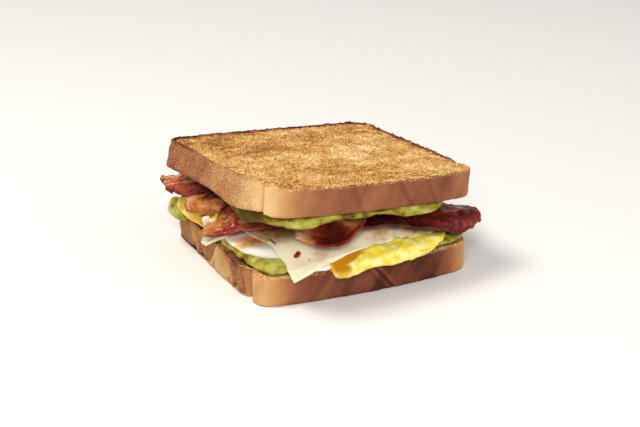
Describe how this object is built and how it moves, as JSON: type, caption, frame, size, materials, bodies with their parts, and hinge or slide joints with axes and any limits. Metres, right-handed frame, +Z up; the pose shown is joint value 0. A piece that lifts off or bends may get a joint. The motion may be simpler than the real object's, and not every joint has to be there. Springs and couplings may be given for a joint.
{
  "type": "toasted breakfast sandwich",
  "caption": "Toasted sliced-bread sandwich with a domed loaf outline, filled with avocado mash, cheese, fried egg with broken yolk and bacon; the upper slice lies askew.",
  "frame": {"origin": "bottom centre of the whole sandwich's bounding box, on the plane that the lower slice rests on", "axes": "+Z up, out of the upper slice; +X along the width of the slices, towards the side where a bacon end sticks out at the front; -Y towards the domed top crust, which is the front, and +Y towards the straight bottom crust"},
  "size_m": [0.1288, 0.1108, 0.0594],
  "materials": {
    "toast": "matt, toasted and porous on the cut faces, smooth brown on the crust",
    "avocado": "moist, lumpy, satin",
    "cheese": "smooth, softened, satin, with a few red flecks",
    "egg_white": "smooth and moist, browned in places",
    "yolk": "moist, runny at one end and set at the other",
    "bacon": "glossy cooked lean with paler streaks of fat"
  },
  "bodies": {
    "root": {"bread_lower": "toast", "avocado_lower": "avocado", "cheese_left": "cheese", "egg_white": "egg_white", "yolk_front": "yolk", "cheese_top": "cheese", "bacon_left": "bacon", "bacon_middle": "bacon", "bacon_right": "bacon", "bacon_front": "bacon", "bacon_hanging": "bacon", "yolk_left": "yolk", "bacon_rear": "bacon", "bread_upper": "toast", "avocado_upper": "avocado"}
  },
  "joints": []
}
